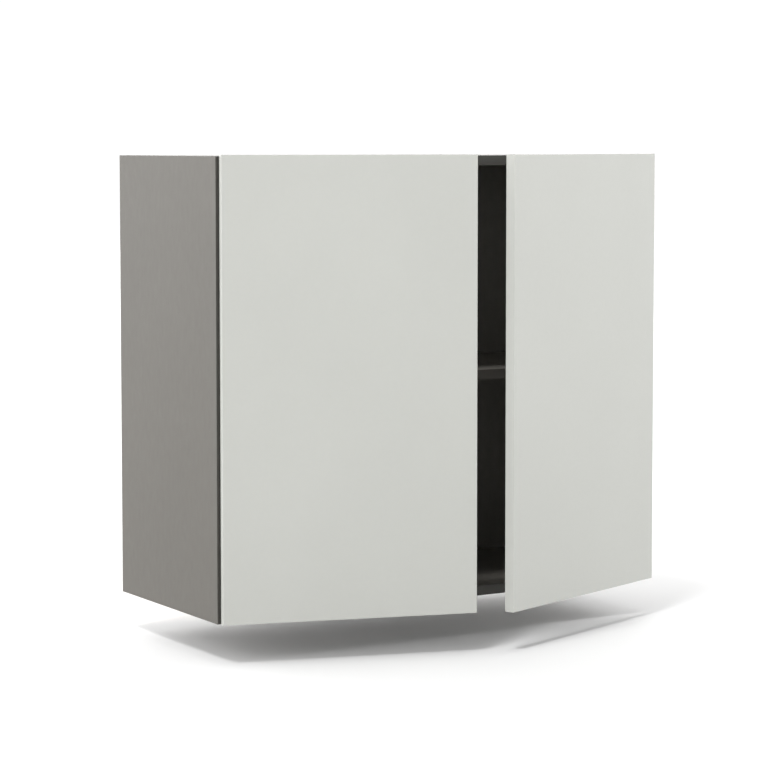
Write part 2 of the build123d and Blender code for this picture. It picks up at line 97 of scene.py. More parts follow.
@dataclass(frozen=True)
class CabinetSizes:
    """Main sizes of the cabinet, in metres and degrees, in the frame of the wall screws."""

    inner_half: float = 0.384
    board: float = 0.016
    top: float = 0.045
    bottom: float = -0.655
    front: float = -0.330
    band: float = 0.001
    hinge_heights: tuple[float, float] = (-0.555, -0.055)
    hole_lines: tuple[float, float] = (-0.293, -0.069)
    joint_lines: tuple[float, float] = (-0.270, -0.083)
    dowel_lines: tuple[float, float] = (-0.238, -0.115)
    pivot: tuple[float, float] = (-0.3898, -0.3410)
    left_rest: float = 16.0
    right_rest: float = 20.5

    def screw_levels(self, step: float) -> list[float]:
        """Heights of the screws that sit a step below and above each hinge."""
        return [height + shift for height in self.hinge_heights for shift in (-step, step)]

    def rest_turn(self, side: Side) -> Matrix:
        """Move a piece drawn on the closed left door to where the given door stands at rest.

        Args:
            side: The door that the piece belongs to.

        Returns:
            The matrix from the closed left door to the door at rest.
        """
        angle = self.left_rest if side is Side.LEFT else self.right_rest
        hinge = Matrix.Translation((*self.pivot, 0.0))
        swing = hinge @ Matrix.Rotation(math.radians(-angle), 4, "Z") @ hinge.inverted()
        mirror = Matrix.Diagonal((1.0 if side is Side.LEFT else -1.0, 1.0, 1.0, 1.0))
        return mirror @ swing


SIZES = CabinetSizes()


class Pen:
    """Places the nodes of one tree and links them."""

    def __init__(self, tree: bpy.types.NodeTree) -> None:
        """Write into the given tree."""
        self.tree = tree

    def add(self, kind: str, fed: Optional[Inputs] = None, **settings: object) -> Node:
        """Add a node, set its properties and feed its inputs.

        Args:
            kind: Blender's name of the node type.
            fed: What its inputs get, by name or number.
            **settings: Properties of the node.

        Returns:
            The new node.
        """
        node = self.tree.nodes.new(kind)
        for key, value in settings.items():
            setattr(node, key, value)
        self.feed(node, fed or {})
        return node

    def feed(self, node: Node, fed: Inputs) -> None:
        """Link a node's inputs to other sockets, or set their own values.

        Args:
            node: The node.
            fed: A socket or a plain value for each input, by name or number.
        """
        for name, value in fed.items():
            if isinstance(value, Socket):
                self.tree.links.new(value, node.inputs[name])
            else:
                node.inputs[name].default_value = value

    def math(self, operation: str, first: Value, second: Value = 0.0, clamp: bool = False) -> Socket:
        """Work out one number from two, kept between 0 and 1 if it is clamped."""
        node = self.add("ShaderNodeMath", {0: first, 1: second}, operation=operation, use_clamp=clamp)
        return node.outputs[0]

    def plus(self, first: Value, second: Value) -> Socket:
        """Add two numbers."""
        return self.math("ADD", first, second)

    def times(self, first: Value, second: Value) -> Socket:
        """Multiply two numbers."""
        return self.math("MULTIPLY", first, second)

    def rest(self, share: Value) -> Socket:
        """What a share leaves of 1."""
        return self.math("SUBTRACT", 1.0, share)

    def vector(self, operation: str, fed: Inputs) -> Mapping[str, Socket]:
        """Work on vectors; the result is a Vector or a Value."""
        return self.add("ShaderNodeVectorMath", fed, operation=operation).outputs

    def stretched(self, first: Socket, second: object) -> Socket:
        """Multiply two vectors, number by number."""
        return self.vector("MULTIPLY", {0: first, 1: second})["Vector"]

    def dot(self, first: Socket, second: object) -> Socket:
        """Dot product of two vectors."""
        return self.vector("DOT_PRODUCT", {0: first, 1: second})["Value"]

    def point(self, x: Value = 0.0, y: Value = 0.0, z: Value = 0.0) -> Socket:
        """A vector from its three numbers."""
        return self.add("ShaderNodeCombineXYZ", {"X": x, "Y": y, "Z": z}).outputs[0]

    def parts(self, vector: Socket) -> Sequence[Socket]:
        """The three numbers of a vector."""
        return self.add("ShaderNodeSeparateXYZ", {"Vector": vector}).outputs[:]

    def here(self) -> Socket:
        """The shaded place, in the object's own frame."""
        return self.add("ShaderNodeTexCoord").outputs["Object"]

    def blend(self, mask: Value, below: object, above: object) -> Socket:
        """Mix two colours: the one below where the mask is 0, the one above where it is 1."""
        layers = [(*colour, 1.0) if isinstance(colour, tuple) else colour for colour in (below, above)]
        return self.add("ShaderNodeMix", {0: mask, 6: layers[0], 7: layers[1]}, data_type="RGBA").outputs[2]

    def spread(
        self, value: Value, low: float = 0.0, high: float = 1.0, to_low: float = 0.0, to_high: float = 1.0
    ) -> Socket:
        """Map the range from low to high to the one from to_low to to_high, and clamp it."""
        ends = {"From Min": low, "From Max": high, "To Min": to_low, "To Max": to_high}
        return self.add("ShaderNodeMapRange", {"Value": value, **ends}).outputs[0]

    def noise(self, place: Socket, scale: Value, detail: float = 3.0, roughness: float = 0.55) -> Socket:
        """Noise between 0 and 1 at a place."""
        fed = {"Vector": place, "Scale": scale, "Detail": detail, "Roughness": roughness}
        return self.add("ShaderNodeTexNoise", fed).outputs["Fac"]


class Effects:
    """Shader node groups that several finishes share, each built once."""

    def __init__(self) -> None:
        """Start with no group built."""
        self._made: dict[str, bpy.types.NodeTree] = {}

    @staticmethod
    def _kind(sample: object) -> str:
        """Kind of socket for values like the sample, where None stands for a colour."""
        kinds = {float: "NodeSocketFloat", tuple: "NodeSocketVector", type(None): "NodeSocketColor"}
        return kinds[type(sample)]

    def _start(
        self, name: str, inputs: Mapping[str, object], outputs: Mapping[str, object]
    ) -> tuple[Pen, Mapping[str, Socket], Node]:
        """Make an empty group with named sockets.

        Args:
            name: Name of the group.
            inputs: Default of each input, or None for a colour.
            outputs: A sample of each output, or None for a colour.

        Returns:
            The group's pen, its inputs as sockets to link from, and its output node.
        """
        tree = bpy.data.node_groups.new(name, "ShaderNodeTree")
        for title, default in inputs.items():
            socket = tree.interface.new_socket(title, in_out="INPUT", socket_type=self._kind(default))
            if default is not None:
                socket.default_value = default
        for title, sample in outputs.items():
            tree.interface.new_socket(title, in_out="OUTPUT", socket_type=self._kind(sample))
        self._made[name] = tree
        pen = Pen(tree)
        return pen, pen.add("NodeGroupInput").outputs, pen.add("NodeGroupOutput")

    def group(self, name: str) -> bpy.types.NodeTree:
        """Give a group, built when it is first needed.

        Args:
            name: Name of the group, which is also the name of the method that builds it.

        Returns:
            The group.
        """
        if name not in self._made:
            getattr(self, name)()
        return self._made[name]

    def fine_grain(self) -> None:
        """Fine pearl texture of melamine and lacquer: a tone between 0 and 1 and a height."""
        pen, given, out = self._start(
            "fine_grain", {"Scale": 900.0, "Stretch": (1.0, 1.0, 1.0)}, {"Tone": 0.0, "Height": 0.0}
        )
        place = pen.stretched(pen.here(), given["Stretch"])
        pearl = pen.noise(place, given["Scale"], detail=2.0, roughness=0.5)
        cloud = pen.noise(place, pen.times(given["Scale"], 0.12), detail=4.0, roughness=0.6)
        tone = pen.plus(pen.times(pearl, 0.45), pen.times(cloud, 0.55))
        pen.feed(out, {"Tone": pen.spread(tone, 0.3, 0.7), "Height": pearl})

    def tone_drift(self) -> None:
        """Slow change of a colour over a large face."""
        pen, given, out = self._start(
            "tone_drift", {"Colour": None, "Drift": 0.02, "Scale": 3.0}, {"Colour": None}
        )
        cloud = pen.noise(pen.here(), given["Scale"], detail=2.0, roughness=0.5)
        swing = pen.spread(cloud, 0.3, 0.7, -1.0, 1.0)
        factor = pen.plus(1.0, pen.times(swing, given["Drift"]))
        pen.feed(out, {"Colour": pen.vector("SCALE", {0: given["Colour"], "Scale": factor})["Vector"]})

    def edge_wear_and_highlight(self) -> None:
        """Mask of edges for wear and painted highlight: how far the face turns within a small radius, broken up
        by noise.
        """
        pen, given, out = self._start(
            "edge_wear_and_highlight", {"Radius": 0.0008, "Amount": 0.5, "Breakup": 120.0}, {"Mask": 0.0}
        )
        rounded = pen.add("ShaderNodeBevel", {"Radius": given["Radius"]}, samples=4).outputs[0]
        straight = pen.add("ShaderNodeNewGeometry").outputs["Normal"]
        edge = pen.spread(pen.dot(rounded, straight), 0.995, 0.80)
        chips = pen.noise(pen.here(), given["Breakup"], detail=4.0, roughness=0.65)
        # This mask lightens edges in every finish: partly edge wear, partly a painted highlight on the edges.
        worn_and_highlit = pen.times(edge, pen.spread(chips, 0.38, 0.62))
        pen.feed(out, {"Mask": pen.math("MULTIPLY", worn_and_highlit, given["Amount"], clamp=True)})

    def settled_dust(self) -> None:
        """Mask of thin dust on faces that look upwards."""
        pen, given, out = self._start("settled_dust", {"Amount": 0.2, "Scale": 18.0}, {"Mask": 0.0})
        upward = pen.parts(pen.add("ShaderNodeNewGeometry").outputs["Normal"])[2]
        patch = pen.noise(pen.here(), given["Scale"], detail=5.0, roughness=0.7)
        mask = pen.times(pen.spread(upward, 0.7, 0.95), pen.spread(patch, 0.35, 0.75))
        pen.feed(out, {"Mask": pen.times(mask, given["Amount"])})

    def fine_scuffs(self) -> None:
        """Fine rolling marks and scuffs of bare metal: a mask and a height."""
        pen, given, out = self._start(
            "fine_scuffs", {"Scale": 260.0, "Stretch": (1.0, 1.0, 0.12)}, {"Mask": 0.0, "Height": 0.0}
        )
        place = pen.stretched(pen.here(), given["Stretch"])
        lines = pen.noise(place, given["Scale"], detail=5.0, roughness=0.7)
        spots = pen.noise(place, pen.times(given["Scale"], 0.2), detail=3.0, roughness=0.6)
        mask = pen.times(pen.spread(lines, 0.4, 0.7), pen.spread(spots, 0.35, 0.65))
        pen.feed(out, {"Mask": mask, "Height": lines})

    def board_faces(self) -> None:
        """Tell a board's two wide faces from its core, and the outer face from the inner one."""
        pen, given, out = self._start(
            "board_faces", {"Across": (1.0, 0.0, 0.0), "Split": 0.392}, {"Wide": 0.0, "Outer": 0.0}
        )
        coords = pen.add("ShaderNodeTexCoord").outputs
        lean = pen.math("ABSOLUTE", pen.dot(coords["Normal"], given["Across"]))
        depth = pen.dot(coords["Object"], given["Across"])
        wide, outer = pen.math("GREATER_THAN", lean, 0.55), pen.math("GREATER_THAN", depth, given["Split"])
        pen.feed(out, {"Wide": wide, "Outer": outer})

    def particle_core(self) -> None:
        """Raw particle board as cut edges and bores show it: a colour and a height."""
        pen, _, out = self._start("particle_core", {}, {"Colour": None, "Height": 0.0})
        place = pen.here()
        flakes = pen.add("ShaderNodeTexVoronoi", {"Vector": place, "Scale": 850.0}, feature="F1").outputs
        chip = pen.add("ShaderNodeSeparateColor", {0: flakes["Color"]}).outputs[0]
        pale = pen.blend(chip, shade(138, 114, 86), shade(178, 152, 118))
        dark = pen.spread(pen.noise(place, 900.0, detail=3.0, roughness=0.7), 0.58, 0.7)
        height = pen.plus(flakes["Distance"], pen.noise(place, 700.0))
        pen.feed(out, {"Colour": pen.blend(dark, pale, shade(92, 68, 46)), "Height": height})


EFFECTS = Effects()


class Coat(Pen):
    """The pen of one material, with its shader."""

    def __init__(self, material: bpy.types.Material) -> None:
        """Write into the given material."""
        super().__init__(material.node_tree)
        self.surface = next(node for node in self.tree.nodes if node.type == "BSDF_PRINCIPLED")

    def effect(self, name: str, **values: object) -> Mapping[str, Socket]:
        """Put a shared effect into the material and give its outputs."""
        return self.add("ShaderNodeGroup", values, node_tree=EFFECTS.group(name)).outputs

    def lay(self, fed: Inputs, height: Socket, depth: float, strength: float) -> None:
        """Feed the shader, and emboss it by a height of which 1 stands for the depth in metres."""
        bump = self.add("ShaderNodeBump", {"Distance": depth, "Strength": strength, "Height": height})
        self.feed(self.surface, {**fed, "Normal": bump.outputs[0]})


@dataclass(frozen=True)
class Finish:
    """A surface finish. Each kind of finish fills in its own shader."""

    name: str
    slot: str

    def build(self) -> bpy.types.Material:
        """Make the material, once.

        Returns:
            The finished material.
        """
        known = bpy.data.materials.get(self.name)
        if known is not None:
            return known
        material = bpy.data.materials.new(self.name)
        material.use_nodes = True
        self.fill(Coat(material))
        return material

    def fill(self, coat: Coat) -> None:
        """Link the finish's nodes to its shader."""
        raise NotImplementedError


@dataclass(frozen=True)
class MelamineBoard(Finish):
    """Melamine-faced board: one decor outside, one inside, and raw core where no foil or band covers it."""

    outer: Colour
    inner: Colour
    across: Way
    split: float
    foil_ends: Optional[tuple[float, float]] = None
    stretch: Point = (1.0, 1.0, 0.35)
    grain: float = 0.07
    grain_colour: Colour = shade(30, 29, 27)
    worn_and_highlit: Colour = shade(176, 168, 158)
    dusty: Colour = shade(176, 170, 160)
    roughness: float = 0.46
    roughness_swing: float = 0.05
    core_roughness: float = 0.85
    relief: float = 0.35
    relief_depth: float = 0.00012
    specular: float = 0.35

    def fill(self, coat: Coat) -> None:
        """Link the board's decors, core and texture to its shader.

        Args:
            coat: The material's coat.
        """
        faces = coat.effect("board_faces", Across=self.across.value, Split=self.split)
        grain = coat.effect("fine_grain", Scale=1100.0, Stretch=self.stretch)
        core = coat.effect("particle_core")
        wear_and_highlight = coat.effect("edge_wear_and_highlight", Radius=0.0007, Amount=0.35, Breakup=90.0)
        dust = coat.effect("settled_dust", Amount=0.10, Scale=14.0)
        wide, outside = faces["Wide"], faces["Outer"]
        if self.foil_ends is not None:
            level = coat.parts(coat.here())[2]
            for operation, end in zip(("LESS_THAN", "GREATER_THAN"), self.foil_ends):
                foil = coat.math(operation, level, end)
                wide, outside = coat.math("MAXIMUM", wide, foil), coat.math("MAXIMUM", outside, foil)
        raw = coat.rest(wide)
        decor = coat.blend(outside, self.inner, self.outer)
        drift = coat.effect("tone_drift", Colour=decor, Drift=0.025, Scale=4.0)["Colour"]
        lively = coat.blend(coat.times(grain["Tone"], self.grain), drift, self.grain_colour)
        # The edge mask blends in a lighter colour: partly edge wear and partly a painted highlight on the
        # edges.
        skin = coat.blend(dust["Mask"], coat.blend(wear_and_highlight["Mask"], lively, self.worn_and_highlit), self.dusty)
        low, high = self.roughness - self.roughness_swing, self.roughness + self.roughness_swing
        gloss = coat.spread(grain["Tone"], to_low=low, to_high=high)
        height = coat.plus(coat.times(grain["Height"], self.relief), coat.times(core["Height"], raw))
        coat.lay({
            "Base Color": coat.blend(wide, core["Colour"], skin),
            "Roughness": coat.math("MAXIMUM", gloss, coat.times(raw, self.core_roughness)),
            "Specular IOR Level": self.specular,
        }, height, depth=self.relief_depth, strength=0.35)


@dataclass(frozen=True)
class PlainSkin(Finish):
    """Skin of one colour for doors, edge bands and plastic: fine texture, drift, and edges lightened as wear
    and painted highlight.
    """

    colour: Colour
    worn_and_highlit: Colour
    dusty: Colour = shade(190, 186, 178)
    roughness: float = 0.42
    roughness_swing: tuple[float, float] = (-0.05, 0.06)
    grain: float = 0.30
    grain_shade: float = 0.93
    grain_scale: float = 1300.0
    grain_depth: float = 0.00004
    drift: float = 0.012
    wear_and_highlight: float = 0.25
    specular: float = 0.4
    dust: float = 0.05

    def fill(self, coat: Coat) -> None:
        """Link the skin's colour, texture, edge wear and painted edge highlight to its shader.

        Args:
            coat: The material's coat.
        """
        grain = coat.effect("fine_grain", Scale=self.grain_scale)
        wear_and_highlight = coat.effect("edge_wear_and_highlight", Radius=0.0006, Amount=self.wear_and_highlight, Breakup=70.0)
        dust = coat.effect("settled_dust", Amount=self.dust, Scale=22.0)
        darker = tuple(part * self.grain_shade for part in self.colour)
        skin = coat.blend(coat.times(grain["Tone"], self.grain), self.colour, darker)
        drift = coat.effect("tone_drift", Colour=skin, Drift=self.drift, Scale=5.0)["Colour"]
        # The edge mask blends in a lighter colour: partly edge wear and partly a painted highlight on the
        # edges.
        worn_and_highlit = coat.blend(wear_and_highlight["Mask"], drift, self.worn_and_highlit)
        low, high = (self.roughness + swing for swing in self.roughness_swing)
        coat.lay({
            "Base Color": coat.blend(dust["Mask"], worn_and_highlit, self.dusty),
            "Roughness": coat.spread(grain["Tone"], to_low=low, to_high=high),
            "Specular IOR Level": self.specular,
        }, grain["Height"], depth=self.grain_depth, strength=0.3)


@dataclass(frozen=True)
class FibreBack(Finish):
    """Thin fibre board: decor inside, bare brown fibre behind."""

    inner: Colour
    across: Way = Way.BACK
    split: float = -0.0215
    fibre: tuple[Colour, Colour] = (shade(112, 89, 65), shade(124, 100, 75))
    grain: float = 0.2
    grain_colour: Colour = shade(28, 27, 25)
    bare_roughness: float = 0.78
    decor_roughness: float = 0.48

    def fill(self, coat: Coat) -> None:
        """Link the back's two faces to its shader.

        Args:
            coat: The material's coat.
        """
        faces = coat.effect("board_faces", Across=self.across.value, Split=self.split)
        grain = coat.effect("fine_grain", Scale=700.0, Stretch=(1.0, 1.0, 0.5))
        fibre = coat.blend(grain["Tone"], *self.fibre)
        bare = coat.effect("tone_drift", Colour=fibre, Drift=0.05, Scale=6.0)["Colour"]
        decor = coat.blend(coat.times(grain["Tone"], self.grain), self.inner, self.grain_colour)
        inside = coat.times(faces["Wide"], coat.rest(faces["Outer"]))
        coat.lay({
            "Base Color": coat.blend(inside, bare, decor),
            "Roughness": coat.spread(inside, to_low=self.bare_roughness, to_high=self.decor_roughness),
            "Specular IOR Level": 0.3,
        }, grain["Height"], depth=0.00006, strength=0.4)


@dataclass(frozen=True)
class PlatedMetal(Finish):
    """Plated or cast metal with fine rolling marks, duller spots, and edges brightened as wear and painted
    highlight.
    """

    colour: Colour
    dull: Colour
    roughness: float = 0.3
    stretch: Point = (1.0, 1.0, 0.15)
    mark_depth: float = 0.00002
    mark_roughness: float = 0.22
    polish_and_highlight: float = 1.18

    def fill(self, coat: Coat) -> None:
        """Link the metal's colour, marks and edges to its shader.

        Args:
            coat: The material's coat.
        """
        marks = coat.effect("fine_scuffs", Scale=420.0, Stretch=self.stretch)
        wear_and_highlight = coat.effect("edge_wear_and_highlight", Radius=0.0005, Amount=0.6, Breakup=200.0)
        # Edges are painted brighter: partly wear and partly a painted highlight.
        bright = tuple(min(1.0, part * self.polish_and_highlight) for part in self.colour)
        plate = coat.blend(marks["Mask"], self.colour, self.dull)
        dullest = self.roughness + self.mark_roughness
        coat.lay({
            "Base Color": coat.blend(wear_and_highlight["Mask"], plate, bright),
            "Roughness": coat.spread(marks["Mask"], to_low=self.roughness, to_high=dullest),
            "Metallic": 1.0,
        }, marks["Height"], depth=self.mark_depth, strength=0.3)


@dataclass(frozen=True)
class BeechWood(Finish):
    """Bare beech with short rays along the dowel."""

    colour: Colour = shade(206, 170, 128)
    ray: Colour = shade(160, 118, 78)

    def fill(self, coat: Coat) -> None:
        """Link the beech's grain to its shader.

        Args:
            coat: The material's coat.
        """
        grain = coat.effect("fine_grain", Scale=900.0, Stretch=(0.08, 1.0, 1.0))
        coat.lay({
            "Base Color": coat.blend(grain["Tone"], self.colour, self.ray),
            "Roughness": coat.spread(grain["Tone"], to_low=0.6, to_high=0.75),
        }, grain["Height"], depth=0.00008, strength=0.4)


@dataclass(frozen=True)
class ClearPad(Finish):
    """Soft clear plastic of the door pads, slightly cloudy."""

    colour: Colour = shade(224, 226, 224)
    haze: Colour = shade(206, 209, 206)

    def fill(self, coat: Coat) -> None:
        """Link the pad's haze to its shader.

        Args:
            coat: The material's coat.
        """
        grain = coat.effect("fine_grain", Scale=600.0)
        coat.lay({
            "Base Color": coat.blend(grain["Tone"], self.colour, self.haze),
            "Roughness": coat.spread(grain["Tone"], to_low=0.22, to_high=0.36),
            "Transmission Weight": 0.6,
            "IOR": 1.46,
        }, grain["Height"], depth=0.00003, strength=0.2)


@dataclass(frozen=True)
class StudioWhite(Finish):
    """Matt white of the studio floor, hardly uneven."""

    tones: tuple[Colour, Colour] = ((0.91, 0.91, 0.91), (0.92, 0.92, 0.92))

    def fill(self, coat: Coat) -> None:
        """Link the floor's white to its shader."""
        white = coat.blend(coat.noise(coat.here(), 2.0), *self.tones)
        coat.feed(coat.surface, {"Base Color": white, "Roughness": 0.9, "Specular IOR Level": 0.1})


TAUPE = shade(92, 89, 83)
GRAPHITE = shade(68, 67, 63)
INNER_GREY = shade(142, 139, 133)
DOOR_GREY = shade(180, 181, 176)
FOIL_ENDS = (-0.6548, 0.0448)
ALONG_X = (0.35, 1.0, 1.0)


@dataclass(frozen=True)
class Palette:
    """All finishes of the cabinet."""

    side_left: Finish = MelamineBoard(
        "side_decor_left", "side_board", TAUPE, INNER_GREY, Way.LEFT, split=0.392, foil_ends=FOIL_ENDS
    )
    side_right: Finish = replace(side_left, name="side_decor_right", across=Way.RIGHT)
    top: Finish = MelamineBoard(
        "top_decor", "inner_board", TAUPE, INNER_GREY, Way.UP, split=0.037, stretch=ALONG_X
    )
    bottom: Finish = replace(top, name="bottom_decor", across=Way.DOWN, split=0.647)
    shelf: Finish = replace(top, name="shelf_decor", outer=INNER_GREY, split=-0.305)
    back: Finish = FibreBack("back_decor", "back_board", INNER_GREY)
    # The second colour of each skin is its lighter edge colour: partly wear, partly a painted highlight.
    door: Finish = PlainSkin("door_lacquer", "door_board", DOOR_GREY, shade(194, 195, 190))
    door_band: Finish = PlainSkin(
        "door_band_lacquer", "door_band", shade(183, 184, 179), shade(199, 200, 195), wear_and_highlight=0.15
    )
    dark_band: Finish = PlainSkin(
        "graphite_band", "dark_band", GRAPHITE, shade(112, 109, 102), roughness=0.48, wear_and_highlight=0.2, specular=0.35
    )
    shelf_band: Finish = replace(
        dark_band, name="shelf_band_skin", colour=shade(102, 99, 94), worn_and_highlit=shade(140, 136, 128)
    )
    housing: Finish = PlainSkin(
        "hanger_plastic", "hanger_plastic", shade(206, 206, 202), shade(222, 222, 218),
        roughness=0.38, grain_scale=800.0,
    )
    nickel: Finish = PlatedMetal(
        "nickel_plate", "nickel_steel", shade(205, 202, 196), shade(160, 156, 150), roughness=0.24
    )
    cast: Finish = PlatedMetal(
        "zinc_casting", "zinc", shade(176, 177, 178), shade(128, 129, 131),
        roughness=0.42, stretch=(1.0, 1.0, 1.0), mark_depth=0.00004,
    )
    galvanised: Finish = PlatedMetal(
        "zinc_plate", "zinc_steel", shade(196, 199, 203), shade(142, 146, 152), roughness=0.34
    )
    beech: Finish = BeechWood("beech", "beech")
    pad: Finish = ClearPad("clear_pad", "bumper")


PALETTE = Palette()


class Workshop:
    """Small jobs that every sub-assembly needs."""

    @staticmethod
    def dress(node: str, finish: Finish) -> None:
        """Give a shown node of the construction its finish.

        Args:
            node: The node's name.
            finish: The finish that it wears.
        """
        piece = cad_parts[node]
        material = finish.build()
        if not piece.material_slots:
            piece.data.materials.append(material)
        for place in piece.material_slots:
            place.material = material
        log.info("%s wears %s", node, finish.name)

    @staticmethod
    def shown(name: str, data: bpy.types.ID) -> bpy.types.Object:
        """Put a mesh, a light or a camera into the scene.

        Args:
            name: Name of the new object.
            data: What it holds.

        Returns:
            The new object.
        """
        piece = bpy.data.objects.new(name, data)
        bpy.context.scene.collection.objects.link(piece)
        return piece

    @staticmethod
    def stand_in(piece: bpy.types.Object, body: str, finish: Finish, *nodes: str) -> None:
        """Let a piece ride on a body and stand for nodes of the construction.

        Args:
            piece: The finished piece, in its place.
            body: The body that it moves with.
            finish: Not used.
            *nodes: The nodes that it stands for.
        """
        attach(piece, body)
        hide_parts(*nodes)
        log.info("%s stands for %s", piece.name, ", ".join(nodes))


class Arris(Enum):
    """Which arrises of a board or band are rounded."""

    NONE = "none"
    BEHIND_BAND = "behind_band"
    FRONT = "front"


@dataclass(frozen=True)
class Easing:
    """How arrises are rounded: lengths in metres, and the least angle between two faces in radians."""

    width: float = 0.0004
    steps: int = 3
    shortest: float = 0.012
    least_angle: float = 1.0
    slack: float = 0.0001
    seam: float = 1e-6
    sliver: float = 2e-6
    sizes: CabinetSizes = SIZES

    def takes(self, edge: bmesh.types.BMEdge, arris: Arris) -> bool:
        """Say whether an edge of a board is rounded.

        Args:
            edge: The edge.
            arris: The arrises that are rounded.

        Returns:
            Whether it is one of them, long and sharp enough.
        """
        if not edge.is_manifold or edge.calc_length() <= self.shortest:
            return False
        if edge.calc_face_angle(0.0) <= self.least_angle:
            return False
        rear_end = max(corner.co.y for corner in edge.verts)
        if arris is Arris.BEHIND_BAND:
            return rear_end > self.sizes.front + self.sizes.band + self.slack
        return arris is Arris.FRONT and rear_end < self.sizes.front + self.slack

    def copy(self, node: str, name: str, finish: Finish, arris: Arris) -> bpy.types.Object:
        """Copy a board with some of its arrises rounded.

        Args:
            node: The board's node.
            name: Name of the new piece.
            finish: Its finish.
            arris: The arrises that are rounded.

        Returns:
            The new piece.
        """
        mesh = bpy.data.meshes.new(name)
        board = bmesh.new()
        board.from_mesh(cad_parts[node].data)
        bmesh.ops.remove_doubles(board, verts=board.verts[:], dist=self.seam)
        bmesh.ops.bevel(
            board, geom=[edge for edge in board.edges if self.takes(edge, arris)], offset=self.width,
            offset_type="OFFSET", segments=self.steps, profile=0.5, affect="EDGES", clamp_overlap=False,
        )
        bmesh.ops.remove_doubles(board, verts=board.verts[:], dist=self.sliver)
        for face in board.faces:
            face.smooth = False
        board.to_mesh(mesh)
        board.free()
        mesh.materials.append(finish.build())
        return Workshop.shown(name, mesh)


@dataclass(frozen=True)
class Seat:
    """Where a repeated piece stands: its foot, the way its top looks, and its turn about it in degrees."""

    foot: Point
    top: Point
    turn: float = 0.0

    def moved(self, matrix: Matrix) -> "Seat":
        """The same seat after a movement."""
        return Seat(tuple(matrix @ Vector(self.foot)), tuple(matrix.to_3x3() @ Vector(self.top)), self.turn)

    def mirrored(self, turn: Optional[float] = None) -> "Seat":
        """The seat on the other half of the cabinet, with its own turn if one is given."""
        flip = Seat(self.foot, self.top, self.turn if turn is None else turn)
        return flip.moved(Matrix.Diagonal((-1.0, 1.0, 1.0, 1.0)))


def both_halves(left: Sequence[Seat], turn: Optional[float] = None) -> list[Seat]:
    """The seats of the left half and those of the right half, with their own turn if one is given."""
    return [*left, *(seat.mirrored(turn) for seat in left)]


@dataclass(frozen=True)
class ScrewSizes:
    """Lengths of a screw, in metres."""

    head_radius: float
    head_height: float
    shank_radius: float
    shank_length: float
    cross_width: float = 0.0011
    cross_depth: float = 0.0009


@dataclass(frozen=True)
class PinSizes:
    """Lengths of a stepped pin, in metres. A flat height beyond the stub's radius leaves the stub round."""

    shank_radius: float
    shank_length: float
    collar_radius: float
    collar_height: float
    stub_radius: float
    stub_length: float
    flat_height: float = 1.0


@dataclass(frozen=True)
class RodSizes:
    """Lengths of a plain round piece, in metres."""

    radius: float
    length: float


@dataclass(frozen=True)
class CamSizes:
    """Lengths of a cam, in metres."""

    radius: float
    depth: float
    slot_width: float
    slot_depth: float
    bore_radius: float
    bore_height: float


Lengths = Union[ScrewSizes, PinSizes, RodSizes, CamSizes]
UPSIDE_DOWN = (math.pi, 0.0, 0.0)


